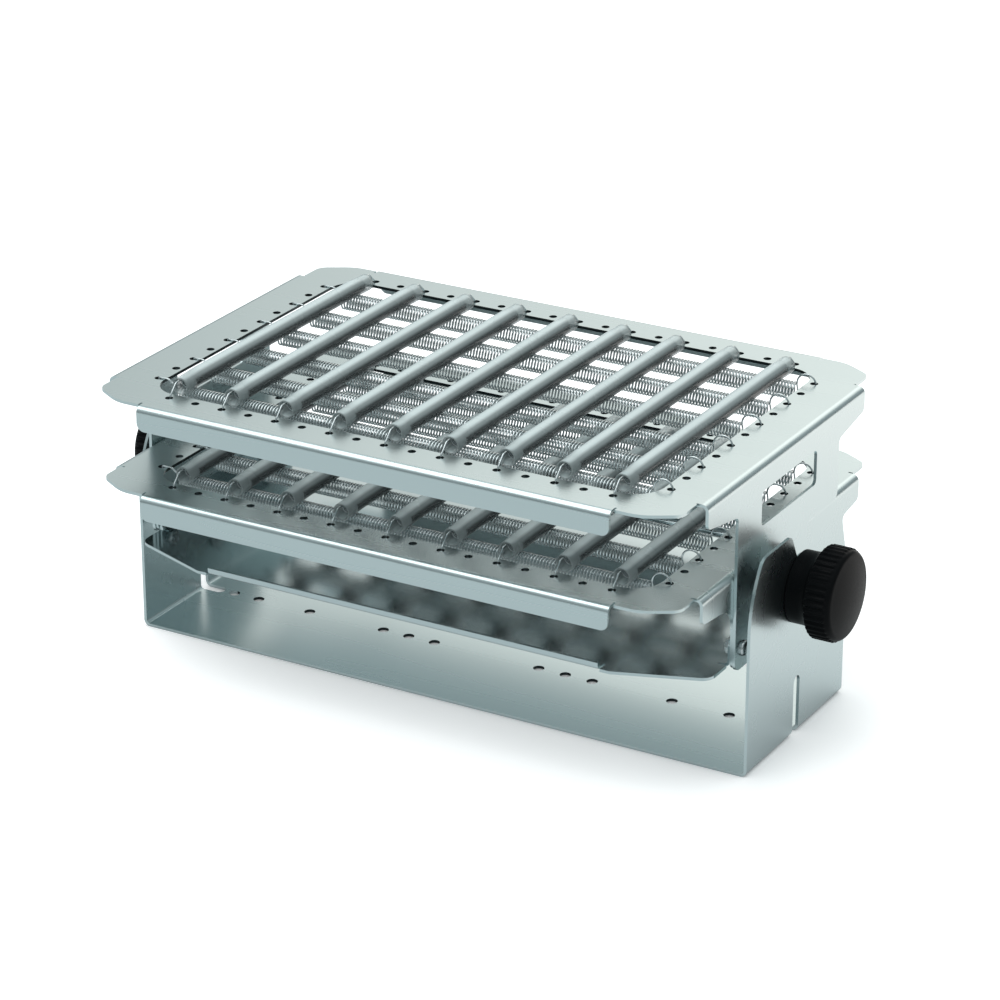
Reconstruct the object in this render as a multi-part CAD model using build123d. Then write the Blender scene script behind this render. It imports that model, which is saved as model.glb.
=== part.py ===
"""Tilting rack for test tubes: a base with two ears, a cradle of three shelves and its springs.

Millimetres. The origin is the middle of the base's underside, +X runs along the rack,
+Y to its back and +Z up. Left and right are the -X and +X ends. The cradle is drawn level,
and every height in it is taken from the tilt axis.
"""

import os

from build123d import *

os.makedirs("parts", exist_ok=True)

# Sheet metal
SHEET = 1.5
BEND_INNER = 2.0
BEND_OUTER = BEND_INNER + SHEET
SHEET_GAP = 0.05
RELIEF_WIDTH = 1.0
RELIEF_DEPTH = 2.5

# Tilt axis and the heights of the shelves, each to the upper face of its sheet
AXIS_HEIGHT = 77.8
SUPPORT_BELOW_AXIS = 22.5
SHELF_SPACING = 46.4
SUPPORT_TOP = AXIS_HEIGHT - SUPPORT_BELOW_AXIS
LOWER_TOP = SUPPORT_TOP + SHELF_SPACING
UPPER_TOP = LOWER_TOP + SHELF_SPACING

# Half lengths to the outer faces of the cheeks, which nest inside one another
UPPER_HALF = 162.5
LOWER_HALF = UPPER_HALF - SHEET - SHEET_GAP
SUPPORT_HALF = LOWER_HALF - SHEET - SHEET_GAP

# Base: folded floor and end walls
EAR_GAP = 6.0
EAR_INNER = UPPER_HALF + EAR_GAP
BASE_HALF = EAR_INNER + SHEET
BASE_WIDTH = 105.0
BASE_HALF_WIDTH = BASE_WIDTH / 2
BASE_HOLE_RADIUS = 2.85
MIDDLE_HOLES_X = (30.0, 45.0, 60.0)
END_HOLES_FROM_END = (66.0, 35.0, 20.0)
SLOT_WIDTH = 6.5
SLOT_ALONG_FLOOR = 14.0
SLOT_UP_WALL = 31.0

# Ear outline: rounded front, flat top, slope at the back and a lobe round the axis
EAR_RISE = 29.2
EAR_TOP = AXIS_HEIGHT + EAR_RISE
EAR_FRONT_BEND_DROP = 17.6
EAR_FRONT_INSET = 12.2
EAR_FRONT_RADIUS = 56.0
EAR_TOP_RADIUS = 7.0
EAR_BACK_Y = -10.8
EAR_BACK_RADIUS = 4.0
EAR_SLOPE_FOOT_Y = 4.4
LOBE_RADIUS = 16.0
LOBE_ROOT_RADIUS = 3.0
LOBE_SKIRT = 15.8
LOBE_SKIRT_RADIUS = 10.0
WALL_BACK_HEIGHT = 34.0
WALL_BACK_RADIUS = 6.0

# The two rack plates, seen from above
PLATE_HALF_WIDTH = 111.75
FRONT_BEND_Y = PLATE_HALF_WIDTH - BEND_OUTER
FLANGE_FROM_END = 35.3
FLANGE_HALF = UPPER_HALF - FLANGE_FROM_END
FLANGE_DROP = 12.2
FLANGE_CORNER = 4.0
OPENING_HALF_X = UPPER_HALF - 26.75
OPENING_HALF_Y = PLATE_HALF_WIDTH - 22.25
OPENING_CORNER = 15.0
CORNER_START_X = UPPER_HALF - 21.5
CORNER_START_RADIUS = 20.0
CORNER_END_X = UPPER_HALF - 5.3
CORNER_END_Y = PLATE_HALF_WIDTH - 12.95
CORNER_END_RADIUS = 7.0

# Springs: cross springs lie in hoses along Y, long springs run bare along X.
# The rows and columns of small holes have one hole at each spring and one between.
CROSS_COUNT = 9
CROSS_OUTER_X = OPENING_HALF_X - 15.75
CROSS_SPACING = 2 * CROSS_OUTER_X / (CROSS_COUNT - 1)
ROW_COUNT = 2 * CROSS_COUNT - 1
ROW_HALF_Y = OPENING_HALF_Y + 4.85
LONG_COUNT = 6
LONG_OUTER_Y = OPENING_HALF_Y - 14.5
LONG_SPACING = 2 * LONG_OUTER_Y / (LONG_COUNT - 1)
COLUMN_COUNT = 2 * LONG_COUNT - 1
COLUMN_HALF_X = OPENING_HALF_X + 3.6
SPRING_HOLE_RADIUS = 2.0
LONG_COIL_RADIUS = 3.25
LONG_UNDER_SHEET = 1.25
LONG_SINK = SHEET + LONG_UNDER_SHEET + LONG_COIL_RADIUS
LONG_COIL_HALF = OPENING_HALF_X - 7.75
CROSS_COIL_RADIUS = 4.0
HOSE_GAP = 0.05
HOSE_WALL = 0.9
HOSE_BORE_RADIUS = CROSS_COIL_RADIUS + HOSE_GAP
HOSE_RADIUS = HOSE_BORE_RADIUS + HOSE_WALL
HOSE_HALF = OPENING_HALF_Y - 4.5
HOSE_OVER_LONG = 0.7
CROSS_RISE = HOSE_RADIUS + HOSE_OVER_LONG + LONG_COIL_RADIUS - LONG_SINK
CROSS_COIL_HALF = HOSE_HALF - 1.0
WIRE_RADIUS = 0.45
WIRE_SIDES = 6
WIRE_GAP = 0.05
WIRE_UNDER = SHEET + WIRE_RADIUS + WIRE_GAP
HOOK_BEND = 2.0
HOOK_TIP = 1.8
HOOK_ARCH = 5.0
HOOK_OFF_HOLE = SPRING_HOLE_RADIUS - 1.0

# Pivot, knob and fasteners
STUD_RADIUS = 4.0
STUD_IN_KNOB = 13.0
EAR_HOLE_RADIUS = STUD_RADIUS + 0.1
BUSH_BORE_RADIUS = STUD_RADIUS + 0.05
BUSH_WALL = 0.95
BUSH_SHANK_RADIUS = BUSH_BORE_RADIUS + BUSH_WALL
BUSH_FLANGE_RADIUS = BUSH_SHANK_RADIUS + 2.0
BUSH_FLANGE_THICK = 1.5
BUSH_SPACER_RADIUS = BUSH_SHANK_RADIUS + 3.0
FIT_GAP = 0.05
SIDE_GAP = 0.1
KNOB_START = BASE_HALF + SIDE_GAP
KNOB_NECK_RADIUS = 17.7
KNOB_NECK_LENGTH = 5.2
KNOB_FLARE = 4.2
KNOB_SHOULDER_LENGTH = 6.7
KNOB_RIM_LENGTH = 10.5
KNOB_EDGE = 2.5
KNOB_DOME = 2.0
KNOB_RIBS = 36
RIB_HEIGHT = 0.9
RIB_ROOT = 0.5
SCREW_HEIGHT = SUPPORT_TOP + 6.7
SCREW_Y = BASE_HALF_WIDTH - 8.5
SCREW_RADIUS = 2.0
SCREW_HOLE_RADIUS = SCREW_RADIUS + 0.1
SCREW_HEAD_RADIUS = 3.8
SCREW_HEAD_HEIGHT = 2.2
SCREW_HEAD_EDGE = 1.7
NUT_SEAT = SUPPORT_HALF - SHEET
NUT_ACROSS_FLATS = 7.0
NUT_THICK = 3.2
SCREW_PAST_NUT = 1.0

# Support plate, whose end flanges stay clear below the pivot bushes
SUPPORT_UNDERSIDE = SUPPORT_TOP - SHEET
SUPPORT_HALF_WIDTH = 84.5
LIP_HALF = 107.9
LIP_HEIGHT = 4.2
SUPPORT_FLANGE_HALF = BASE_HALF_WIDTH - 1.5
SUPPORT_FLANGE_TOP = AXIS_HEIGHT - BUSH_FLANGE_RADIUS - 3.0
SUPPORT_FLANGE_CORNER = 3.0
SLANT_START_X = LIP_HALF + 6.1
SLANT_END_X = SUPPORT_HALF - 1.4
SLANT_END_Y = SUPPORT_HALF_WIDTH - 16.0
SLANT_RADIUS = 7.0

# Cheeks: each outline is given as Y, height and corner radius, from its front flange end round
CHEEK_CORNER = 5.0
STEP_CORNER = 3.0
UPPER_FLANGE_HALF = PLATE_HALF_WIDTH - 28.25
UPPER_FLANGE_BOTTOM = UPPER_TOP - 12.0
UPPER_CHEEK_FRONT = -BASE_HALF_WIDTH
UPPER_CHEEK_BACK = BASE_HALF_WIDTH + 3.0
UPPER_CHEEK_BOTTOM = SUPPORT_UNDERSIDE - 1.4
UPPER_STEP_Y = 22.0
UPPER_STEP_HEIGHT = LOWER_TOP - 1.3
UPPER_CHEEK = (
    (-UPPER_FLANGE_HALF, UPPER_TOP - BEND_OUTER, 0),
    (-UPPER_FLANGE_HALF, UPPER_FLANGE_BOTTOM, STEP_CORNER),
    (UPPER_CHEEK_FRONT, UPPER_FLANGE_BOTTOM - 5.4, STEP_CORNER),
    (UPPER_CHEEK_FRONT, UPPER_CHEEK_BOTTOM, CHEEK_CORNER),
    (UPPER_STEP_Y, UPPER_CHEEK_BOTTOM, STEP_CORNER),
    (UPPER_STEP_Y, UPPER_STEP_HEIGHT, STEP_CORNER),
    (UPPER_CHEEK_BACK, UPPER_STEP_HEIGHT, 4.0),
    (UPPER_CHEEK_BACK, UPPER_FLANGE_BOTTOM - 5.0, STEP_CORNER),
    (UPPER_FLANGE_HALF, UPPER_FLANGE_BOTTOM, STEP_CORNER),
    (UPPER_FLANGE_HALF, UPPER_TOP - BEND_OUTER, 0),
)
LOWER_FLANGE_HALF = PLATE_HALF_WIDTH - 27.75
LOWER_FLANGE_BOTTOM = LOWER_TOP - 12.5
LOWER_CHEEK_FRONT = UPPER_CHEEK_FRONT + 0.5
LOWER_CHEEK_BACK = PLATE_HALF_WIDTH - 45.95
LOWER_CHEEK_BOTTOM = UPPER_CHEEK_BOTTOM + 0.4
LOWER_CHEEK_LEAN = 9.5
LOWER_CHEEK = (
    (-LOWER_FLANGE_HALF, LOWER_TOP - BEND_OUTER, 0),
    (-LOWER_FLANGE_HALF, LOWER_FLANGE_BOTTOM, STEP_CORNER),
    (LOWER_CHEEK_FRONT, LOWER_FLANGE_BOTTOM - 3.5, 12.0),
    (LOWER_CHEEK_FRONT, LOWER_CHEEK_BOTTOM, CHEEK_CORNER),
    (LOWER_CHEEK_BACK + LOWER_CHEEK_LEAN, LOWER_CHEEK_BOTTOM, CHEEK_CORNER),
    (LOWER_CHEEK_BACK, LOWER_FLANGE_BOTTOM - 2.7, STEP_CORNER),
    (LOWER_FLANGE_HALF, LOWER_FLANGE_BOTTOM, STEP_CORNER),
    (LOWER_FLANGE_HALF, LOWER_TOP - BEND_OUTER, 0),
)
WINDOW_LENGTH = 58.8
WINDOW_HEIGHT = 17.5
WINDOW_MIDDLE_Y = 1.1
WINDOW_BELOW_TOP = 13.6
WINDOW_CORNER = 2.5


def rounded_face(corners):
    """Flat face through the corners, each given as across, up and corner radius."""
    face = make_face(Polyline(*[(across, up) for across, up, _ in corners], close=True))
    for across, up, radius in corners:
        if radius > 0:
            corner = face.vertices().sort_by_distance((across, up, 0))[0]
            face = fillet(corner, radius)
    return face


def both_ends(right_piece):
    """The piece of the right end together with its mirror image at the left end."""
    return right_piece + mirror(right_piece, about=Plane.YZ)


def all_quarters(quarter):
    """A plan drawn for +X and +Y, completed on all four sides."""
    half = quarter + mirror(quarter, about=Plane.YZ)
    return half + mirror(half, about=Plane.XZ)


def cylinder_x(radius, start, end):
    """Cylinder on the tilt axis from one X to another."""
    disc = Plane.YZ.offset(start) * Pos(0, AXIS_HEIGHT) * Circle(radius)
    return extrude(disc, end - start)


def bend(length):
    """Quarter turn of the sheet about the Y axis, from flat on top to upright at +X."""
    ring = Circle(BEND_OUTER) - Circle(BEND_INNER)
    quarter = ring & Pos(BEND_OUTER / 2, BEND_OUTER / 2) * Rectangle(BEND_OUTER, BEND_OUTER)
    return extrude(Plane.XZ * quarter, length / 2, both=True)


def bend_up(length):
    """The same quarter turn from flat at the bottom to upright at +X."""
    return mirror(bend(length), about=Plane.XY)


def side_sheet(face, outer_x):
    """Upright sheet at the right end from its outline, which is given as Y and Z."""
    return extrude(Plane.YZ.offset(outer_x - SHEET) * face, SHEET)


def front_sheet(face, outer_y):
    """Upright sheet at the front from its outline, which is given as X and Z."""
    return extrude(Plane.XZ.offset(outer_y - SHEET) * face, SHEET)


def ear_outline():
    """End wall of the base with its ear, given as Y and Z."""
    front_bend = EAR_TOP - EAR_FRONT_BEND_DROP
    front_top_y = EAR_FRONT_INSET - BASE_HALF_WIDTH
    wall = rounded_face(
        [
            (-BASE_HALF_WIDTH, BEND_OUTER, 0),
            (-BASE_HALF_WIDTH, front_bend, EAR_FRONT_RADIUS),
            (front_top_y, EAR_TOP, EAR_TOP_RADIUS),
            (EAR_BACK_Y, EAR_TOP, EAR_BACK_RADIUS),
            (EAR_SLOPE_FOOT_Y, AXIS_HEIGHT, 0),
            (LOBE_RADIUS, AXIS_HEIGHT, 0),
            (LOBE_RADIUS, AXIS_HEIGHT - LOBE_SKIRT, LOBE_SKIRT_RADIUS),
            (BASE_HALF_WIDTH, WALL_BACK_HEIGHT, WALL_BACK_RADIUS),
            (BASE_HALF_WIDTH, BEND_OUTER, 0),
        ]
    )
    lobe_middle = Vector(0, AXIS_HEIGHT)
    wall = wall + Pos(lobe_middle) * Circle(LOBE_RADIUS)
    on_lobe = [v for v in wall.vertices() if abs((v.center() - lobe_middle).length - LOBE_RADIUS) < 0.001]
    highest = max(on_lobe, key=lambda corner: corner.Y)
    wall = fillet(highest, LOBE_ROOT_RADIUS)
    wall = wall - Pos(lobe_middle) * Circle(EAR_HOLE_RADIUS)
    return wall - Rot(0, 0, 90) * SlotOverall(2 * SLOT_UP_WALL, SLOT_WIDTH)


def base_frame():
    """One folded sheet: floor and both end walls with their ears."""
    floor = Rectangle(2 * (BASE_HALF - BEND_OUTER), BASE_WIDTH)
    holes_x = MIDDLE_HOLES_X + tuple(BASE_HALF - inset for inset in END_HOLES_FROM_END)
    slot = SlotOverall(2 * SLOT_ALONG_FLOOR, SLOT_WIDTH)
    floor = floor - [Pos(side * x, 0) * Circle(BASE_HOLE_RADIUS) for x in holes_x for side in (-1, 1)]
    floor = extrude(floor - [Pos(side * BASE_HALF, 0) * slot for side in (-1, 1)], SHEET)
    corner = Pos(BASE_HALF - BEND_OUTER, 0, BEND_OUTER) * bend_up(BASE_WIDTH)
    slot_cut = Pos(BASE_HALF, 0, BEND_OUTER) * Box(4 * BEND_OUTER, SLOT_WIDTH, 2 * BEND_OUTER)
    wall = side_sheet(ear_outline(), BASE_HALF)
    return floor + both_ends(wall + (corner - slot_cut))


def plate_plan(side_bend_x, side_half_y):
    """Flat part of a rack plate up to its bend lines, with opening and spring holes."""
    quarter = rounded_face(
        [
            (0, 0, 0),
            (0, FRONT_BEND_Y, 0),
            (FLANGE_HALF, FRONT_BEND_Y, 0),
            (FLANGE_HALF, FRONT_BEND_Y - RELIEF_DEPTH, 0),
            (FLANGE_HALF + RELIEF_WIDTH, FRONT_BEND_Y - RELIEF_DEPTH, 0),
            (FLANGE_HALF + RELIEF_WIDTH, FRONT_BEND_Y, 0),
            (CORNER_START_X, FRONT_BEND_Y, CORNER_START_RADIUS),
            (CORNER_END_X, CORNER_END_Y, CORNER_END_RADIUS),
            (CORNER_END_X, side_half_y + RELIEF_WIDTH, 0),
            (side_bend_x - RELIEF_DEPTH, side_half_y + RELIEF_WIDTH, 0),
            (side_bend_x - RELIEF_DEPTH, side_half_y, 0),
            (side_bend_x, side_half_y, 0),
            (side_bend_x, 0, 0),
        ]
    )
    plan = all_quarters(quarter)
    plan = plan - RectangleRounded(2 * OPENING_HALF_X, 2 * OPENING_HALF_Y, OPENING_CORNER)
    rows = GridLocations(CROSS_SPACING / 2, 2 * ROW_HALF_Y, ROW_COUNT, 2)
    columns = GridLocations(2 * COLUMN_HALF_X, LONG_SPACING / 2, 2, COLUMN_COUNT)
    return plan - rows * Circle(SPRING_HOLE_RADIUS) - columns * Circle(SPRING_HOLE_RADIUS)


def rack_plate(top, half_length, cheek):
    """Rack plate without the holes in its cheeks: shelf, two long flanges and two cheeks."""
    side_half = cheek[-1][0]
    bend_x = half_length - BEND_OUTER
    bend_z = top - BEND_OUTER
    shelf = Pos(0, 0, top - SHEET) * extrude(plate_plan(bend_x, side_half), SHEET)
    flange = rounded_face(
        [
            (-FLANGE_HALF, bend_z, 0),
            (FLANGE_HALF, bend_z, 0),
            (FLANGE_HALF, top - FLANGE_DROP, FLANGE_CORNER),
            (-FLANGE_HALF, top - FLANGE_DROP, FLANGE_CORNER),
        ]
    )
    front = front_sheet(flange, PLATE_HALF_WIDTH)
    front = front + Pos(0, -FRONT_BEND_Y, bend_z) * Rot(0, 0, -90) * bend(2 * FLANGE_HALF)
    right = side_sheet(rounded_face(cheek), half_length)
    right = right + Pos(bend_x, 0, bend_z) * bend(2 * side_half)
    return shelf + front + mirror(front, about=Plane.XZ) + both_ends(right)


def cheek_hole(y, z, radius):
    """Bore along X that passes every cheek at both ends of the cradle."""
    disc = Plane.YZ.offset(-BASE_HALF) * Pos(y, z) * Circle(radius)
    return extrude(disc, 2 * BASE_HALF)


def pivot_hole():
    """Hole for the pivot bush in the cheeks."""
    return cheek_hole(0, AXIS_HEIGHT, BUSH_SHANK_RADIUS + FIT_GAP)


def screw_hole(y):
    """Hole for a cradle screw in the cheeks."""
    return cheek_hole(y, SCREW_HEIGHT, SCREW_HOLE_RADIUS)


def upper_rack_plate():
    """Upper plate with the wide cheeks, their windows, pivot holes and front screw holes."""
    plate = rack_plate(UPPER_TOP, UPPER_HALF, UPPER_CHEEK)
    window = RectangleRounded(WINDOW_LENGTH, WINDOW_HEIGHT, WINDOW_CORNER)
    window = Pos(WINDOW_MIDDLE_Y, UPPER_TOP - WINDOW_BELOW_TOP - WINDOW_HEIGHT / 2) * window
    plate = plate - extrude(Plane.YZ.offset(-BASE_HALF) * window, 2 * BASE_HALF)
    return plate - pivot_hole() - screw_hole(-SCREW_Y)


def lower_rack_plate():
    """Lower plate, whose cheeks lie inside those of the upper one."""
    plate = rack_plate(LOWER_TOP, LOWER_HALF, LOWER_CHEEK)
    return plate - pivot_hole() - screw_hole(-SCREW_Y) - screw_hole(SCREW_Y)


def support_plate():
    """Shelf the tubes stand on, with low lips at front and back and a flange at each end."""
    side_bend_x = SUPPORT_HALF - BEND_OUTER
    lip_bend_y = SUPPORT_HALF_WIDTH - BEND_OUTER
    bend_z = SUPPORT_UNDERSIDE + BEND_OUTER
    quarter = rounded_face(
        [
            (0, 0, 0),
            (0, lip_bend_y, 0),
            (LIP_HALF, lip_bend_y, 0),
            (LIP_HALF, lip_bend_y - RELIEF_DEPTH, 0),
            (LIP_HALF + RELIEF_WIDTH, lip_bend_y - RELIEF_DEPTH, 0),
            (LIP_HALF + RELIEF_WIDTH, SUPPORT_HALF_WIDTH, 0),
            (SLANT_START_X, SUPPORT_HALF_WIDTH, 0),
            (SLANT_END_X, SLANT_END_Y, SLANT_RADIUS),
            (SLANT_END_X, SUPPORT_FLANGE_HALF + RELIEF_WIDTH, 0),
            (side_bend_x - RELIEF_DEPTH, SUPPORT_FLANGE_HALF + RELIEF_WIDTH, 0),
            (side_bend_x - RELIEF_DEPTH, SUPPORT_FLANGE_HALF, 0),
            (side_bend_x, SUPPORT_FLANGE_HALF, 0),
            (side_bend_x, 0, 0),
        ]
    )
    shelf = Pos(0, 0, SUPPORT_UNDERSIDE) * extrude(all_quarters(quarter), SHEET)
    lip_height = LIP_HEIGHT - BEND_OUTER
    lip = Pos(0, bend_z + lip_height / 2) * Rectangle(2 * LIP_HALF, lip_height)
    front = front_sheet(lip, SUPPORT_HALF_WIDTH)
    front = front + Pos(0, -lip_bend_y, bend_z) * Rot(0, 0, -90) * bend_up(2 * LIP_HALF)
    flange = rounded_face(
        [
            (-SUPPORT_FLANGE_HALF, bend_z, 0),
            (SUPPORT_FLANGE_HALF, bend_z, 0),
            (SUPPORT_FLANGE_HALF, SUPPORT_FLANGE_TOP, SUPPORT_FLANGE_CORNER),
            (-SUPPORT_FLANGE_HALF, SUPPORT_FLANGE_TOP, SUPPORT_FLANGE_CORNER),
        ]
    )
    right = side_sheet(flange, SUPPORT_HALF)
    right = right + Pos(side_bend_x, 0, bend_z) * bend_up(2 * SUPPORT_FLANGE_HALF)
    plate = shelf + front + mirror(front, about=Plane.XZ) + both_ends(right)
    return plate - screw_hole(-SCREW_Y) - screw_hole(SCREW_Y)


def ribbed_ring(inner, outer):
    """Outline of the knob's rim across its axis, with flat topped ribs."""
    step = 360 / KNOB_RIBS
    points = []
    for rib in range(KNOB_RIBS):
        for share, radius in ((0.0, inner), (0.25, outer), (0.75, outer)):
            point = Vector(radius, 0).rotate(Axis.Z, step * (rib + share))
            points.append((point.X, point.Y))
    return make_face(Polyline(*points, close=True))


def knob():
    """Right hand knob with its blind bore for the stud, a ribbed rim and a domed face."""
    rim_radius = KNOB_NECK_RADIUS + KNOB_FLARE
    neck_end = (KNOB_START + KNOB_NECK_LENGTH, KNOB_NECK_RADIUS)
    rim_start = (neck_end[0] + KNOB_SHOULDER_LENGTH, rim_radius)
    rim_end = (rim_start[0] + KNOB_RIM_LENGTH, rim_radius)
    face_edge = (rim_end[0] + KNOB_EDGE, rim_radius - KNOB_EDGE)
    tip = (face_edge[0] + KNOB_DOME, 0)
    profile = [
        Polyline((KNOB_START, 0), (KNOB_START, KNOB_NECK_RADIUS), neck_end),
        TangentArc(rim_start, neck_end, tangent=(-1, 0)),
        Line(rim_start, rim_end),
        TangentArc(rim_end, face_edge, tangent=(1, 0)),
        TangentArc(tip, face_edge, tangent=(0, 1)),
        Line(tip, (KNOB_START, 0)),
    ]
    body = Pos(0, 0, AXIS_HEIGHT) * revolve(make_face(profile), Axis.X)
    ring = ribbed_ring(rim_radius - RIB_ROOT, rim_radius + RIB_HEIGHT)
    ribs = extrude(Plane.YZ.offset(rim_start[0]) * Pos(0, AXIS_HEIGHT) * ring, KNOB_RIM_LENGTH)
    bore = cylinder_x(STUD_RADIUS + FIT_GAP, KNOB_START, KNOB_START + STUD_IN_KNOB)
    return body + ribs - bore


def stud():
    """Steel stud of the right knob, through the ear into the pivot bush."""
    return cylinder_x(STUD_RADIUS, LOWER_HALF - SHEET - BUSH_FLANGE_THICK, KNOB_START + STUD_IN_KNOB)


def pivot_bush():
    """Bush riveted through both right cheeks; its spacer stands just off the ear."""
    cheek_inside = LOWER_HALF - SHEET
    flange_inside = cheek_inside - BUSH_FLANGE_THICK
    bush = cylinder_x(BUSH_SPACER_RADIUS, UPPER_HALF, EAR_INNER - SIDE_GAP)
    bush = bush + cylinder_x(BUSH_SHANK_RADIUS, cheek_inside, UPPER_HALF)
    bush = bush + cylinder_x(BUSH_FLANGE_RADIUS, flange_inside, cheek_inside)
    return bush - cylinder_x(BUSH_BORE_RADIUS, flange_inside, EAR_INNER)


def screw(seat_x, y):
    """Button head screw at the right end: seat of its head, then its place along Y."""
    end_x = NUT_SEAT - NUT_THICK - SCREW_PAST_NUT
    head = cylinder_x(SCREW_HEAD_RADIUS, seat_x, seat_x + SCREW_HEAD_HEIGHT)
    head = fillet(head.edges().sort_by(Axis.X)[-1], SCREW_HEAD_EDGE)
    screw_on_axis = head + cylinder_x(SCREW_RADIUS, end_x, seat_x)
    return Pos(0, y, SCREW_HEIGHT - AXIS_HEIGHT) * screw_on_axis


def nut(y):
    """Hexagon nut on a screw, against the inside of the support plate's flange."""
    hexagon = RegularPolygon(NUT_ACROSS_FLATS / 2, 6, major_radius=False)
    hexagon = hexagon - Circle(SCREW_RADIUS + FIT_GAP)
    return extrude(Plane.YZ.offset(NUT_SEAT - NUT_THICK) * Pos(y, SCREW_HEIGHT) * hexagon, NUT_THICK)


def group_both_ends(right_pieces):
    """Separate solids at the right end and their mirror images at the left end."""
    left_pieces = [mirror(piece, about=Plane.YZ) for piece in right_pieces]
    return Compound(children=[solid for piece in right_pieces + left_pieces for solid in piece.solids()])


def wire(points):
    """Bent end of a spring through the points, given as along and up, drawn in XZ."""
    path = Plane.XZ * Polyline(*points)
    section = Plane(origin=path @ 0, z_dir=path % 0) * RegularPolygon(WIRE_RADIUS, WIRE_SIDES)
    return sweep(section, path=path, transition=Transition.RIGHT)


def spring(radius, half_length, hook_points):
    """Spring along X as the rod its coils fill, with a hook of wire at both ends."""
    rod = extrude(Plane.YZ.offset(-half_length) * Circle(radius), 2 * half_length)
    return rod + both_ends(wire(hook_points))


def cross_spring(x, top):
    """Spring inside a hose, hooked down into the rows of holes at front and back."""
    leg = ROW_HALF_Y - HOOK_OFF_HOLE
    under = -CROSS_RISE - WIRE_UNDER
    hook = [
        (CROSS_COIL_HALF - HOOK_BEND, 0),
        (leg - HOOK_BEND, 0),
        (leg, -HOOK_BEND),
        (leg, under + HOOK_TIP),
        (leg - WIRE_RADIUS, under),
        (leg - WIRE_RADIUS - HOOK_TIP, under),
    ]
    return Pos(x, 0, top + CROSS_RISE) * Rot(0, 0, 90) * spring(CROSS_COIL_RADIUS, CROSS_COIL_HALF, hook)


def long_spring(y, top):
    """Bare spring below a shelf, hooked up through the opening and down into a column hole."""
    leg = COLUMN_HALF_X
    in_hole = leg - HOOK_OFF_HOLE
    under = LONG_SINK - WIRE_UNDER
    arch = LONG_SINK + HOOK_ARCH
    hook = [
        (LONG_COIL_HALF - HOOK_BEND, 0),
        (LONG_COIL_HALF + HOOK_BEND, HOOK_BEND / 2),
        (OPENING_HALF_X - HOOK_BEND, under + HOOK_TIP),
        (OPENING_HALF_X - WIRE_RADIUS, arch - HOOK_BEND),
        (leg - HOOK_BEND, arch),
        (leg, arch - HOOK_BEND),
        (in_hole + WIRE_RADIUS, under + HOOK_TIP),
        (in_hole - WIRE_RADIUS, under),
        (in_hole - WIRE_RADIUS - HOOK_TIP, under),
    ]
    return Pos(0, y, top - LONG_SINK) * spring(LONG_COIL_RADIUS, LONG_COIL_HALF, hook)


def hose(x, top):
    """Open hose over a cross spring."""
    ring = Circle(HOSE_RADIUS) - Circle(HOSE_BORE_RADIUS)
    tube = extrude(Plane.XZ * ring, HOSE_HALF, both=True)
    return Pos(x, 0, top + CROSS_RISE) * tube


def save(name, piece):
    """Write one node of the rack."""
    piece.label = name
    export_step(piece, os.path.join("parts", name + ".step"))


save("base_frame", base_frame())
save("upper_rack_plate", upper_rack_plate())
save("lower_rack_plate", lower_rack_plate())
save("support_plate", support_plate())
for name, make_piece in (("knob", knob), ("stud", stud), ("pivot_bush", pivot_bush)):
    right_piece = make_piece()
    save("right_" + name, right_piece)
    save("left_" + name, mirror(right_piece, about=Plane.YZ))
save("cradle_screws", group_both_ends([screw(UPPER_HALF, -SCREW_Y), screw(LOWER_HALF, SCREW_Y)]))
save("cradle_nuts", group_both_ends([nut(-SCREW_Y), nut(SCREW_Y)]))
for shelf_name, shelf_top in (("upper", UPPER_TOP), ("lower", LOWER_TOP)):
    for number in range(CROSS_COUNT):
        x = number * CROSS_SPACING - CROSS_OUTER_X
        save(f"{shelf_name}_cross_spring_{number + 1}", cross_spring(x, shelf_top))
        save(f"{shelf_name}_hose_{number + 1}", hose(x, shelf_top))
    for number in range(LONG_COUNT):
        y = number * LONG_SPACING - LONG_OUTER_Y
        save(f"{shelf_name}_long_spring_{number + 1}", long_spring(y, shelf_top))
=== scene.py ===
"""Looks of the tilting test tube rack: satin sheet steel, coil springs, clear hoses and black knobs."""

import math

import bmesh
import bpy
from mathutils import Matrix, Vector

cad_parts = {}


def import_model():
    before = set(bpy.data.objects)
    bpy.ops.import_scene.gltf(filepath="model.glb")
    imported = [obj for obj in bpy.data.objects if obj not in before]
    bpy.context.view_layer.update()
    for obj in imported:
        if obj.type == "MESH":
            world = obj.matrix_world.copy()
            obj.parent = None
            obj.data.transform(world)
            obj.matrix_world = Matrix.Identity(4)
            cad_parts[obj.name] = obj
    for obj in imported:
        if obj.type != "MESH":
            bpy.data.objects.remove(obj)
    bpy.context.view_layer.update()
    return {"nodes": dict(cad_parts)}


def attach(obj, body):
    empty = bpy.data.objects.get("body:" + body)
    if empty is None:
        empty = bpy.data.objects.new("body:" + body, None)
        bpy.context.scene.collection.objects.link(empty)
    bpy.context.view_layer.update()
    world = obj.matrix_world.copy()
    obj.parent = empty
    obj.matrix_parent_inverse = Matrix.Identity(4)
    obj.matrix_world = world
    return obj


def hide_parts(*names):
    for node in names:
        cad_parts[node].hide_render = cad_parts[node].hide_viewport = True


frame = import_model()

MM = 0.001
X_AXIS = (1, 0, 0)
Y_AXIS = (0, 1, 0)
Z_AXIS = (0, 0, 1)
QUARTER = math.pi / 2

# Tops of the two spring shelves, tilt axis and sheet
SHELF_TOPS = {"upper": 148.1 * MM, "lower": 101.7 * MM}
AXIS_HEIGHT = 77.8 * MM
SHEET = 1.5 * MM

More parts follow.
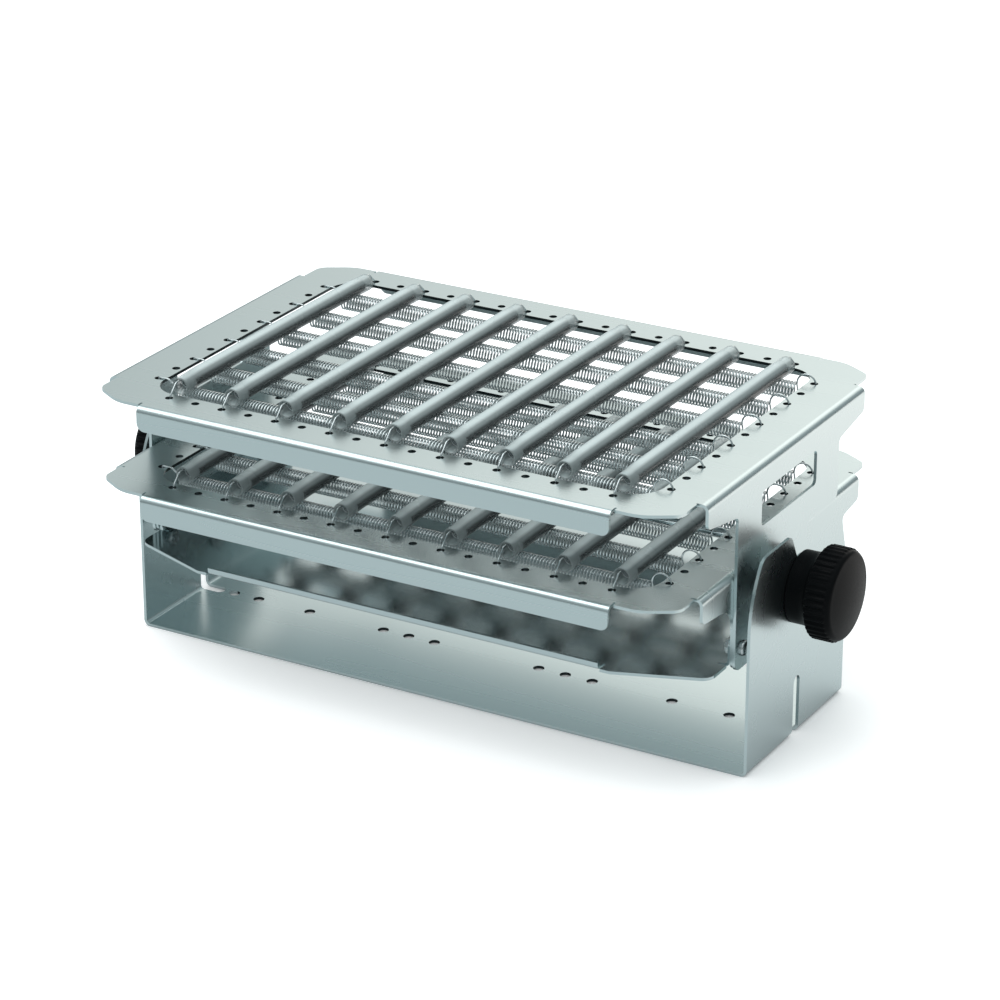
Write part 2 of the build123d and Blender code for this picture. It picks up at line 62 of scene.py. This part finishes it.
# Cross springs lie in hoses above each shelf
CROSS_COUNT = 9
CROSS_OUTER_X = 120.0 * MM
CROSS_RISE = 3.35 * MM
CROSS_COIL_RADIUS = 3.1 * MM
CROSS_WIRE = 0.45 * MM
CROSS_PITCH = 1.05 * MM
CROSS_COIL_HALF = 79.0 * MM
CROSS_LEG = 93.35 * MM
HOSE_RADIUS = 4.45 * MM
HOSE_BORE = 3.65 * MM
HOSE_HALF = 85.0 * MM

# The hooks pull both ends of a hose down to the sheet
DROOP = 0.6 * MM
DROOP_START = 66.0 * MM
DROOP_LENGTH = 18.0 * MM
DROOP_STEPS = 5

# Long springs lie bare below each shelf
LONG_COUNT = 6
LONG_OUTER_Y = 75.0 * MM
LONG_SINK = 5.6 * MM
LONG_COIL_RADIUS = 4.25 * MM
LONG_WIRE = 0.45 * MM
LONG_PITCH = 1.65 * MM
LONG_COIL_LEFT = -127.5 * MM
LONG_COIL_RIGHT = 130.0 * MM

# Sides of a wire, steps in one turn of a coil and the bend at the tip of a hook
COIL_SIDES = 5
HOOK_SIDES = 6
COIL_STEPS = 11
TIP_BEND = 1.0 * MM

# Knobs: stations from the ear outwards
KNOB_START = 170.1 * MM
NECK_RADIUS = 17.7 * MM
NECK_LENGTH = 5.2 * MM
RIM_RADIUS = 21.9 * MM
RIM_START = 11.9 * MM
RIM_END = 22.4 * MM
EDGE_RADIUS = 2.5 * MM
KNOB_DEPTH = 26.9 * MM
RIB_COUNT = 40
RIB_HEIGHT = 0.85 * MM


# Pieces

def add_piece(name, mesh, material, body, replaced):
    """Places a finished mesh as a piece that rides on a body and stands for a CAD node."""
    piece = bpy.data.objects.new(name, mesh)
    bpy.context.scene.collection.objects.link(piece)
    mesh.materials.clear()
    mesh.materials.append(material)
    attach(piece, body)
    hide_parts(replaced)


def to_mesh(bm, name, sharp_angle=None):
    """Turns a bmesh into a smooth mesh, kept sharp at edges steeper than the angle in degrees."""
    bmesh.ops.recalc_face_normals(bm, faces=bm.faces)
    mesh = bpy.data.meshes.new(name)
    bm.to_mesh(mesh)
    bm.free()
    mesh.shade_smooth()
    if sharp_angle is not None:
        mesh.set_sharp_from_angle(angle=math.radians(sharp_angle))
    return mesh


def placed(template, name, matrix):
    """A copy of a mesh with its place applied."""
    mesh = template.copy()
    mesh.name = name
    mesh.transform(matrix)
    if matrix.determinant() < 0:
        mesh.flip_normals()
    return mesh


def ring_edges(corners):
    """Edges of a closed ring, each once."""
    return list(dict.fromkeys(edge for corner in corners for edge in corner.link_edges))


def extrude_ring(bm, edges, offset):
    """Extrudes a ring of edges by an offset; gives its new edges and corners."""
    grown = bmesh.ops.extrude_edge_only(bm, edges=edges)["geom"]
    corners = [item for item in grown if isinstance(item, bmesh.types.BMVert)]
    bmesh.ops.translate(bm, vec=offset, verts=corners)
    kept = set(corners)
    fresh = [item for item in grown if isinstance(item, bmesh.types.BMEdge) and kept.issuperset(item.verts)]
    return fresh, corners


# Springs and hoses

class WireBender:
    """A round wire drawn as a tube: each call carries its last ring of edges further."""

    def __init__(self, bm, start, direction, radius, sides):
        self.bm = bm
        turn = Vector(direction).to_track_quat("Z", "Y").to_matrix().to_4x4()
        place = Matrix.Translation(start) @ turn
        ring = bmesh.ops.create_circle(
            bm, cap_ends=True, radius=radius, segments=sides, matrix=place
        )["verts"]
        self.edges = ring_edges(ring)

    def run(self, offset):
        """Straight stretch."""
        self.edges, _ = extrude_ring(self.bm, self.edges, offset)

    def turn(self, centre, axis, angle, steps, advance=0.0):
        """Arc about an axis, or a coil that moves on by the advance over its whole angle."""
        shift = Vector(axis) * (advance / steps)
        last = bmesh.ops.spin(
            self.bm, geom=self.edges, cent=centre, axis=axis, dvec=shift, angle=angle, steps=steps
        )["geom_last"]
        self.edges = [item for item in last if isinstance(item, bmesh.types.BMEdge)]

    def finish(self):
        """Closes the end of the wire."""
        bmesh.ops.holes_fill(self.bm, edges=self.edges, sides=0)


def coil(bm, left, right, coil_radius, wire_radius, pitch):
    """Close coil along X, from its first to its last turn."""
    turns = round((right - left) / pitch)
    bender = WireBender(bm, (left, 0, coil_radius), Y_AXIS, wire_radius, COIL_SIDES)
    bender.turn((0, 0, 0), X_AXIS, -math.tau * turns, COIL_STEPS * turns, right - left)
    bender.finish()


def hook_start(bm, coil_end, coil_radius, wire_radius):
    """Leaves the last turn of the coil and bends to run along +X; gives the wire and its end X."""
    bend = 1.2 * MM
    start = Vector((coil_end, -bend, coil_radius))
    wire = WireBender(bm, start, Y_AXIS, wire_radius, HOOK_SIDES)
    wire.turn(start + Vector((bend, 0, 0)), Z_AXIS, -QUARTER, 3)
    return wire, coil_end + bend


def cross_hook(bm):
    """Out of the hose, sloping down through the hole and back under the sheet."""
    wire, reach = hook_start(bm, CROSS_COIL_HALF, CROSS_COIL_RADIUS, CROSS_WIRE)
    bend = 2.5 * MM
    end_rise = CROSS_RISE - DROOP
    under = -end_rise - SHEET - CROSS_WIRE
    fall = CROSS_COIL_RADIUS + end_rise + 0.4 * MM - bend
    slope_start = CROSS_LEG - bend - fall
    arc_height = CROSS_COIL_RADIUS - bend - fall
    wire.run((slope_start - reach, 0, 0))
    wire.turn((slope_start, 0, CROSS_COIL_RADIUS - bend), Y_AXIS, QUARTER / 2, 3)
    wire.run((fall, 0, -fall))
    wire.turn((CROSS_LEG - bend, 0, arc_height), Y_AXIS, QUARTER / 2, 3)
    wire.run((0, 0, under + TIP_BEND - arc_height))
    wire.turn((CROSS_LEG - TIP_BEND, 0, under + TIP_BEND), Y_AXIS, QUARTER, 4)
    wire.run((-1.4 * MM, 0, 0))
    wire.finish()


def arched_hook(bm):
    """Up through the opening, in a round arch over the edge of the sheet and into the hole beside it."""
    bend = 0.4 * MM
    arch = 5.0 * MM
    foot = 130.4 * MM
    arch_height = 4.7 * MM
    under = LONG_SINK - SHEET - LONG_WIRE
    wire = WireBender(bm, (foot, -bend, LONG_COIL_RADIUS), Y_AXIS, LONG_WIRE, HOOK_SIDES)
    wire.turn((foot, -bend, LONG_COIL_RADIUS + bend), X_AXIS, QUARTER, 3)
    wire.run((0, 0, arch_height - LONG_COIL_RADIUS - bend))
    wire.turn((foot + arch, 0, arch_height), Y_AXIS, 2 * QUARTER, 12)
    wire.turn((foot + 2 * arch - TIP_BEND, 0, arch_height), Y_AXIS, QUARTER, 4)
    wire.run((-1.2 * MM, 0, under + TIP_BEND - arch_height))
    wire.finish()


def flat_hook(bm):
    """Up through the opening, flat over the sheet and down into the hole beside it."""
    wire, reach = hook_start(bm, -LONG_COIL_LEFT, LONG_COIL_RADIUS, LONG_WIRE)
    bend = 2.5 * MM
    leg = 139.35 * MM
    rise_start = 130.3 * MM
    tilt = math.radians(50)
    over = LONG_SINK + LONG_WIRE + 0.05 * MM
    under = LONG_SINK - SHEET - LONG_WIRE
    wire.run((rise_start - reach, 0, 0))
    wire.turn((rise_start, 0, LONG_COIL_RADIUS + bend), Y_AXIS, -tilt, 4)
    rise = over - LONG_COIL_RADIUS - 2 * bend * (1 - math.cos(tilt))
    wire.run((rise / math.tan(tilt), 0, rise))
    flat_start = rise_start + 2 * bend * math.sin(tilt) + rise / math.tan(tilt)
    wire.turn((flat_start, 0, over - bend), Y_AXIS, tilt, 4)
    wire.run((leg - TIP_BEND - flat_start, 0, 0))
    wire.turn((leg - TIP_BEND, 0, over - TIP_BEND), Y_AXIS, QUARTER, 4)
    wire.run((0, 0, under + 2 * TIP_BEND - over))
    wire.turn((leg - TIP_BEND, 0, under + TIP_BEND), Y_AXIS, QUARTER, 4)
    wire.run((-1.2 * MM, 0, 0))
    wire.finish()


def droop(bm, along):
    """Lowers what lies near both ends of a hose; along is the index of its axis."""
    for vert in bm.verts:
        share = min(max((abs(vert.co[along]) - DROOP_START) / DROOP_LENGTH, 0), 1)
        vert.co.z -= DROOP * share * share * (3 - 2 * share)


def spring_mesh(name, left, right, coil_radius, wire_radius, pitch, left_hook, right_hook, drooping):
    """Spring along X about the origin with a hook at each end."""
    bm = bmesh.new()
    left_hook(bm)
    bmesh.ops.rotate(bm, cent=(0, 0, 0), matrix=Matrix.Rotation(math.pi, 3, "Z"), verts=bm.verts)
    right_hook(bm)
    coil(bm, left, right, coil_radius, wire_radius, pitch)
    if drooping:
        droop(bm, 0)
    return to_mesh(bm, name)


def ring_out(bm, edges, offset, scale):
    """Extrudes a ring of edges along a hose and scales it about the axis of the hose."""
    edges, corners = extrude_ring(bm, edges, offset)
    bmesh.ops.scale(bm, vec=(scale, 1, scale), verts=corners)
    return edges


def hose_wall(bm, edges, length):
    """Carries a ring along the hose, in short steps where its ends droop."""
    sign = math.copysign(1, length)
    step = DROOP_LENGTH / DROOP_STEPS
    ends = [step] * (DROOP_STEPS - 1)
    middle = abs(length) - 2 * sum(ends)
    for stretch in ends + [middle] + ends:
        edges, _ = extrude_ring(bm, edges, (0, sign * stretch, 0))
    return edges


def hose_mesh():
    """Open hose along Y about the origin, with softened ends."""
    bm = bmesh.new()
    soft = 0.15 * MM
    length = 2 * (HOSE_HALF - soft)
    place = Matrix.Translation((0, soft - HOSE_HALF, 0)) @ Matrix.Rotation(QUARTER, 4, "X")
    first = bmesh.ops.create_circle(
        bm, cap_ends=False, radius=HOSE_RADIUS, segments=24, matrix=place
    )["verts"]
    start = ring_edges(first)
    edges = hose_wall(bm, start, length)
    edges = ring_out(bm, edges, (0, soft, 0), (HOSE_RADIUS - soft) / HOSE_RADIUS)
    edges = ring_out(bm, edges, (0, 0, 0), (HOSE_BORE + soft) / (HOSE_RADIUS - soft))
    edges = ring_out(bm, edges, (0, -soft, 0), HOSE_BORE / (HOSE_BORE + soft))
    edges = hose_wall(bm, edges, -length)
    edges = ring_out(bm, edges, (0, -soft, 0), (HOSE_BORE + soft) / HOSE_BORE)
    edges = ring_out(bm, edges, (0, 0, 0), (HOSE_RADIUS - soft) / (HOSE_BORE + soft))
    bmesh.ops.bridge_loops(bm, edges=edges + start)
    droop(bm, 1)
    return to_mesh(bm, "hose", 50)


# Knobs

def knob_mesh():
    """Right knob about the tilt axis: neck, concave shoulder, ribbed rim and domed face.

    A station is a distance from the ear, a radius and the share of the full height that its ribs have.
    """
    bm = bmesh.new()
    turn = Matrix.Translation((0, 0, AXIS_HEIGHT)) @ Matrix.Rotation(QUARTER, 4, "Y")
    segments = 4 * RIB_COUNT
    stations = [(0.0, NECK_RADIUS - 0.4 * MM, 0), (0.4 * MM, NECK_RADIUS, 0), (NECK_LENGTH, NECK_RADIUS, 0)]
    flare = RIM_RADIUS - NECK_RADIUS
    for step in range(1, 7):
        share = step / 6
        widening = 1 - math.sqrt(1 - share * share)
        stations.append((NECK_LENGTH + share * (RIM_START - NECK_LENGTH), NECK_RADIUS + flare * widening, 0))
    for along, height in ((0.25, 0.6), (0.8, 1.0)):
        stations.append((RIM_START + along * MM, RIM_RADIUS, height))
    for along, height in ((-0.7, 1.0), (-0.15, 0.7)):
        stations.append((RIM_END + along * MM, RIM_RADIUS, height))
    for step in range(7):
        angle = QUARTER * step / 6
        shrink = EDGE_RADIUS * (1 - math.cos(angle))
        stations.append((RIM_END + EDGE_RADIUS * math.sin(angle), RIM_RADIUS - shrink, 0 if step else 0.35))
    dome_start = RIM_END + EDGE_RADIUS
    dome_radius = RIM_RADIUS - EDGE_RADIUS
    for share in (0.85, 0.65, 0.4, 0.15):
        rise = (KNOB_DEPTH - dome_start) * (1 - share * share)
        stations.append((dome_start + rise, dome_radius * share, 0))
    ring = bmesh.ops.create_circle(
        bm, cap_ends=True, radius=NECK_RADIUS, segments=segments, matrix=turn
    )["verts"]
    edges = ring_edges(ring)
    for number, (along, radius, rib) in enumerate(stations):
        if number:
            edges, ring = extrude_ring(bm, edges, (0, 0, 0))
        for vert in ring:
            across = Vector((vert.co.y, vert.co.z - AXIS_HEIGHT))
            number_in_rib = round(math.atan2(across.y, across.x) / math.tau * segments) % 4
            lift = RIB_HEIGHT * rib if number_in_rib in (1, 2) else 0
            across = across.normalized() * (radius + lift)
            vert.co = (KNOB_START + along, across.x, AXIS_HEIGHT + across.y)
    bmesh.ops.holes_fill(bm, edges=edges, sides=0)
    return to_mesh(bm, "knob", 35)


# Materials

STEEL_COLOUR = (0.53, 0.61, 0.615)
BRIGHT_STEEL_COLOUR = (0.48, 0.555, 0.565)
WIRE_COLOUR = (0.56, 0.61, 0.615)
FASTENER_COLOUR = (0.54, 0.57, 0.575)
# Colour of the painted shade on the punched edges of the sheets
CUT_SHADE_COLOUR = (0.03, 0.04, 0.042)
HOSE_COLOUR = (0.50, 0.55, 0.555)
KNOB_COLOUR = (0.004, 0.0045, 0.005)

# A noise value lies mostly between these two
NOISE_LOW = 0.3
NOISE_HIGH = 0.7
LENGTHWISE = (0.06, 1, 1)
ALL_WAYS = (1, 1, 1)

# Hose: how solid it looks over the spring and at its open ends, and its tone from the underside to the top,
# which is painted shade below and a painted highlight on top; at the open ends an even lighter tone takes
# its place
HOSE_SOLID = 0.85
HOSE_END_SOLID = 0.6
HOSE_END_START = 70.0 * MM
HOSE_END_FULL = 78.0 * MM
HOSE_END_TONE = 0.78
HOSE_PAINTED_LIGHT_TONES = ((0.42, 0.07), (0.64, 0.13), (0.77, 0.37), (0.87, 0.40), (0.96, 0.76))


def new_material(name, colour, metallic, roughness):
    """Material with its main shader set; gives the material, its nodes, its links and the shader."""
    material = bpy.data.materials.new(name)
    material.use_nodes = True
    tree = material.node_tree
    shader = tree.nodes["Principled BSDF"]
    shader.inputs["Base Color"].default_value = (*colour, 1)
    shader.inputs["Metallic"].default_value = metallic
    shader.inputs["Roughness"].default_value = roughness
    return material, tree.nodes, tree.links, shader


def connect(links, value, socket):
    """Links an output to a socket, or sets the socket where the value is a plain one."""
    if isinstance(value, bpy.types.NodeSocket):
        links.new(value, socket)
    else:
        socket.default_value = value


def calculate(nodes, links, operation, *values):
    """Result of one sum or comparison of sockets and plain values."""
    step = nodes.new("ShaderNodeMath")
    step.operation = operation
    for value, socket in zip(values, step.inputs):
        connect(links, value, socket)
    return step.outputs["Value"]


def mix_colours(nodes, links, factor, first, second):
    """Colour between two colours, each a socket or three plain values."""
    blend = nodes.new("ShaderNodeMix")
    blend.data_type = "RGBA"
    connect(links, factor, blend.inputs[0])
    for colour, socket in ((first, blend.inputs[6]), (second, blend.inputs[7])):
        connect(links, (*colour, 1) if isinstance(colour, tuple) else colour, socket)
    return blend.outputs[2]


def map_range(nodes, links, value, start, end, low=0.0, high=1.0):
    """A value between start and end carried over to low and high, and held at both."""
    span = nodes.new("ShaderNodeMapRange")
    span.inputs["From Min"].default_value = start
    span.inputs["From Max"].default_value = end
    span.inputs["To Min"].default_value = low
    span.inputs["To Max"].default_value = high
    links.new(value, span.inputs["Value"])
    return span.outputs["Result"]


def split(nodes, links, vector):
    """X, Y and Z of a vector."""
    parts = nodes.new("ShaderNodeSeparateXYZ")
    links.new(vector, parts.inputs["Vector"])
    return parts.outputs


def noise(nodes, links, scale, stretch):
    """Noise over the piece's own coordinates, stretched along an axis."""
    place = nodes.new("ShaderNodeTexCoord")
    mapping = nodes.new("ShaderNodeMapping")
    mapping.inputs["Scale"].default_value = stretch
    links.new(place.outputs["Object"], mapping.inputs["Vector"])
    pattern = nodes.new("ShaderNodeTexNoise")
    pattern.inputs["Scale"].default_value = scale
    pattern.inputs["Detail"].default_value = 3.0
    links.new(mapping.outputs["Vector"], pattern.inputs["Vector"])
    return pattern.outputs["Fac"]


def uneven_gloss(nodes, links, shader, pattern, smoothest, roughest):
    """Lets the roughness follow a noise value."""
    roughness = map_range(nodes, links, pattern, NOISE_LOW, NOISE_HIGH, smoothest, roughest)
    links.new(roughness, shader.inputs["Roughness"])


def steel(name, colour, scale, stretch, smoothest, roughest):
    """Stainless steel with the faint grain of its rolling, drawing or turning."""
    material, nodes, links, shader = new_material(name, colour, 1.0, smoothest)
    uneven_gloss(nodes, links, shader, noise(nodes, links, scale, stretch), smoothest, roughest)
    return material


def paint_shade_in_cuts(material, colour, top, reach):
    """Paints shade onto the punched edges of a flat sheet: its upright faces below the top and within the
    reach turn dark, standing in for the shade that falls in the holes and openings.
    """
    nodes = material.node_tree.nodes
    links = material.node_tree.links
    place = nodes.new("ShaderNodeTexCoord")
    where = split(nodes, links, place.outputs["Object"])
    facing = split(nodes, links, place.outputs["Normal"])
    cut_shade_mask = calculate(nodes, links, "COMPARE", facing["Z"], 0, 0.5)
    for value, centre, half in (
        (where["X"], 0, reach[0]),
        (where["Y"], 0, reach[1]),
        (where["Z"], top - SHEET / 2, SHEET / 2),
    ):
        test = calculate(nodes, links, "COMPARE", value, centre, half)
        cut_shade_mask = calculate(nodes, links, "MULTIPLY", cut_shade_mask, test)
    paint = mix_colours(nodes, links, cut_shade_mask, colour, CUT_SHADE_COLOUR)
    links.new(paint, nodes["Principled BSDF"].inputs["Base Color"])


def clear_hose():
    """Soft clear hose that has gone slightly milky, with painted shade on its underside and a painted
    highlight on top; clearer at its open ends, where an even lighter tone takes the place of the painted
    shade.
    """
    material, nodes, links, shader = new_material("hose_rubber", HOSE_COLOUR, 0.0, 0.2)
    shader.inputs["IOR"].default_value = 1.5
    uneven_gloss(nodes, links, shader, noise(nodes, links, 60.0, ALL_WAYS), 0.2, 0.3)
    place = nodes.new("ShaderNodeTexCoord")
    along = calculate(nodes, links, "ABSOLUTE", split(nodes, links, place.outputs["Object"])["Y"])
    near_end = map_range(nodes, links, along, HOSE_END_START, HOSE_END_FULL)
    solidity = map_range(nodes, links, near_end, 0.0, 1.0, HOSE_SOLID, HOSE_END_SOLID)
    links.new(solidity, shader.inputs["Alpha"])
    # Painted shade and highlight: the colour darkens where the surface faces down and lightens where it
    # faces up
    geometry = nodes.new("ShaderNodeNewGeometry")
    upward = split(nodes, links, geometry.outputs["Normal"])["Z"]
    shade = map_range(nodes, links, upward, -1.0, 1.0)
    end_tone = calculate(nodes, links, "MULTIPLY", near_end, HOSE_END_TONE)
    lightest = calculate(nodes, links, "MAXIMUM", shade, end_tone)
    painted_light_ramp = nodes.new("ShaderNodeValToRGB")
    stops = painted_light_ramp.color_ramp.elements
    stops.remove(stops[1])
    for number, (position, level) in enumerate(HOSE_PAINTED_LIGHT_TONES):
        stop = stops.new(position) if number else stops[0]
        stop.position = position
        stop.color = (0.88 * level, level, level, 1)
    links.new(lightest, painted_light_ramp.inputs["Fac"])
    links.new(painted_light_ramp.outputs["Color"], shader.inputs["Base Color"])
    return material


def black_plastic():
    """Moulded black plastic with a fine matte grain."""
    material, nodes, links, shader = new_material("knob_plastic", KNOB_COLOUR, 0.0, 0.36)
    shader.inputs["Specular IOR Level"].default_value = 0.04
    fine = noise(nodes, links, 1400.0, ALL_WAYS)
    uneven_gloss(nodes, links, shader, fine, 0.32, 0.42)
    bump = nodes.new("ShaderNodeBump")
    bump.inputs["Strength"].default_value = 0.05
    bump.inputs["Distance"].default_value = 0.02 * MM
    links.new(fine, bump.inputs["Height"])
    links.new(bump.outputs["Normal"], shader.inputs["Normal"])
    return material


wire_steel = steel("spring_steel", WIRE_COLOUR, 400.0, ALL_WAYS, 0.18, 0.28)
fastener_steel = steel("fastener_steel", FASTENER_COLOUR, 700.0, ALL_WAYS, 0.22, 0.34)
hose_rubber = clear_hose()
knob_plastic = black_plastic()

sheets = {"support_plate": steel("bright_sheet_steel", BRIGHT_STEEL_COLOUR, 40.0, LENGTHWISE, 0.12, 0.15)}
for name, top, reach in (
    ("base_frame", SHEET, (150.0 * MM, 48.0 * MM)),
    ("upper_rack_plate", SHELF_TOPS["upper"], (145.0 * MM, 100.0 * MM)),
    ("lower_rack_plate", SHELF_TOPS["lower"], (145.0 * MM, 100.0 * MM)),
):
    sheets[name] = steel(name + "_steel", STEEL_COLOUR, 40.0, LENGTHWISE, 0.26, 0.29)
    # Painted shade on the punched holes and cut edges of this sheet
    paint_shade_in_cuts(sheets[name], STEEL_COLOUR, top, reach)
for name, node in frame["nodes"].items():
    node.data.materials.clear()
    node.data.materials.append(sheets.get(name, fastener_steel))


# The rack's own pieces

knob_right = knob_mesh()
for side, sign in (("right", 1), ("left", -1)):
    mesh = placed(knob_right, side + "_ribbed_knob", Matrix.Diagonal((sign, 1, 1, 1)))
    add_piece(side + "_ribbed_knob", mesh, knob_plastic, side + "_knob", side + "_knob")

cross_template = spring_mesh(
    "cross_spring", -CROSS_COIL_HALF, CROSS_COIL_HALF,
    CROSS_COIL_RADIUS, CROSS_WIRE, CROSS_PITCH, cross_hook, cross_hook, True
)
long_template = spring_mesh(
    "long_spring", LONG_COIL_LEFT, LONG_COIL_RIGHT,
    LONG_COIL_RADIUS, LONG_WIRE, LONG_PITCH, flat_hook, arched_hook, False
)
hose_template = hose_mesh()
along_y = Matrix.Rotation(QUARTER, 4, "Z")
for shelf, top in SHELF_TOPS.items():
    for number in range(CROSS_COUNT):
        x = CROSS_OUTER_X * (2 * number / (CROSS_COUNT - 1) - 1)
        place = Matrix.Translation((x, 0, top + CROSS_RISE))
        node = f"{shelf}_cross_spring_{number + 1}"
        mesh = placed(cross_template, node + "_coil", place @ along_y)
        add_piece(node + "_coil", mesh, wire_steel, "cradle", node)
        node = f"{shelf}_hose_{number + 1}"
        mesh = placed(hose_template, node + "_clear", place)
        add_piece(node + "_clear", mesh, hose_rubber, "cradle", node)
    for number in range(LONG_COUNT):
        y = LONG_OUTER_Y * (2 * number / (LONG_COUNT - 1) - 1)
        node = f"{shelf}_long_spring_{number + 1}"
        mesh = placed(long_template, node + "_coil", Matrix.Translation((0, y, top - LONG_SINK)))
        add_piece(node + "_coil", mesh, wire_steel, "cradle", node)


# Floor, light and camera

FLOOR_GLOW = 0.55
FLOOR_SHADE_REACH = 60.0 * MM
FLOOR_COLOUR = (0.9, 0.9, 0.9)

# What metal mirrors of the floor, from the front left to the back right
MIRRORED_DIM = (0.74, 0.82, 0.84)
MIRRORED_LIGHT = (1.45, 1.40, 1.36)

CAMERA_LENS = 133.0571
CAMERA_AZIMUTH = 29.7072
CAMERA_ELEVATION = 23.1347
CAMERA_DISTANCE = 1.6495
CAMERA_TARGET = (0.0785, -0.1237, 0.1481)


def floor():
    """White floor with a soft shade where it meets the part; metal mirrors it dimmer to the front left."""
    bm = bmesh.new()
    bmesh.ops.create_grid(bm, x_segments=1, y_segments=1, size=8.0)
    mesh = bpy.data.meshes.new("floor")
    bm.to_mesh(mesh)
    bm.free()
    ground = bpy.data.objects.new("floor", mesh)
    bpy.context.scene.collection.objects.link(ground)
    material, nodes, links, shader = new_material("floor_white", FLOOR_COLOUR, 0.0, 0.9)
    shader.inputs["Specular IOR Level"].default_value = 0.0
    path = nodes.new("ShaderNodeLightPath")
    glossy = path.outputs["Is Glossy Ray"]
    place = nodes.new("ShaderNodeTexCoord")
    slope = nodes.new("ShaderNodeVectorMath")
    slope.operation = "DOT_PRODUCT"
    slope.inputs[1].default_value = (0.8, 0.6, 0)
    links.new(place.outputs["Object"], slope.inputs[0])
    side = map_range(nodes, links, slope.outputs["Value"], 0.1, 0.5)
    mirrored = mix_colours(nodes, links, side, MIRRORED_DIM, MIRRORED_LIGHT)
    glow = mix_colours(nodes, links, glossy, (FLOOR_GLOW, FLOOR_GLOW, FLOOR_GLOW), mirrored)
    links.new(glow, shader.inputs["Emission Color"])
    shown = mix_colours(nodes, links, glossy, FLOOR_COLOUR, (0, 0, 0))
    links.new(shown, shader.inputs["Base Color"])
    openness = nodes.new("ShaderNodeAmbientOcclusion")
    openness.samples = 8
    openness.inputs["Distance"].default_value = FLOOR_SHADE_REACH
    seen = calculate(nodes, links, "MAXIMUM", path.outputs["Is Camera Ray"], glossy)
    seen = calculate(nodes, links, "MAXIMUM", seen, path.outputs["Is Transmission Ray"])
    strength = calculate(nodes, links, "MULTIPLY", seen, openness.outputs["AO"])
    links.new(strength, shader.inputs["Emission Strength"])
    mesh.materials.append(material)


def world():
    """Grey light all round, lighter overhead."""
    sky = bpy.data.worlds.new("studio")
    bpy.context.scene.world = sky
    sky.use_nodes = True
    nodes = sky.node_tree.nodes
    links = sky.node_tree.links
    place = nodes.new("ShaderNodeTexCoord")
    height = split(nodes, links, place.outputs["Generated"])["Z"]
    shade = nodes.new("ShaderNodeValToRGB")
    shade.color_ramp.elements[0].position = 0.0
    shade.color_ramp.elements[0].color = (0.19, 0.22, 0.225, 1)
    shade.color_ramp.elements[1].position = 0.9
    shade.color_ramp.elements[1].color = (0.76, 0.84, 0.86, 1)
    links.new(height, shade.inputs["Fac"])
    links.new(shade.outputs["Color"], nodes["Background"].inputs["Color"])


def lamp(name, place, target, size, power, spread=180, colour=(1, 1, 1)):
    """Large soft lamp turned to a point, whose light fades off its axis where the spread is narrow."""
    light = bpy.data.lights.new(name, "AREA")
    light.shape = "RECTANGLE"
    light.size, light.size_y = size
    light.spread = math.radians(spread)
    light.energy = power
    light.color = colour
    lamp_object = bpy.data.objects.new(name, light)
    bpy.context.scene.collection.objects.link(lamp_object)
    lamp_object.location = place
    aim = Vector(target) - Vector(place)
    lamp_object.rotation_euler = aim.to_track_quat("-Z", "Y").to_euler()


def camera():
    """Camera at the photo's angle."""
    data = bpy.data.cameras.new("camera")
    data.lens = CAMERA_LENS
    data.sensor_width = 36
    data.clip_end = 20
    eye = bpy.data.objects.new("camera", data)
    bpy.context.scene.collection.objects.link(eye)
    azimuth = math.radians(CAMERA_AZIMUTH)
    elevation = math.radians(CAMERA_ELEVATION)
    flat = math.cos(elevation)
    back = Vector((math.sin(azimuth) * flat, -math.cos(azimuth) * flat, math.sin(elevation)))
    eye.location = Vector(CAMERA_TARGET) + back * CAMERA_DISTANCE
    eye.rotation_euler = (-back).to_track_quat("-Z", "Y").to_euler()
    bpy.context.scene.camera = eye


floor()
world()
lamp("top", (-0.5, -0.3, 1.6), (0, 0, 0.08), (1.5, 1.5), 13)
lamp("back", (-0.45, 1.3, 0.76), (-0.25, 0, 0.12), (2.0, 1.2), 1.25, 62, (1.0, 0.93, 0.86))
camera()
bpy.context.scene.view_settings.view_transform = "Standard"
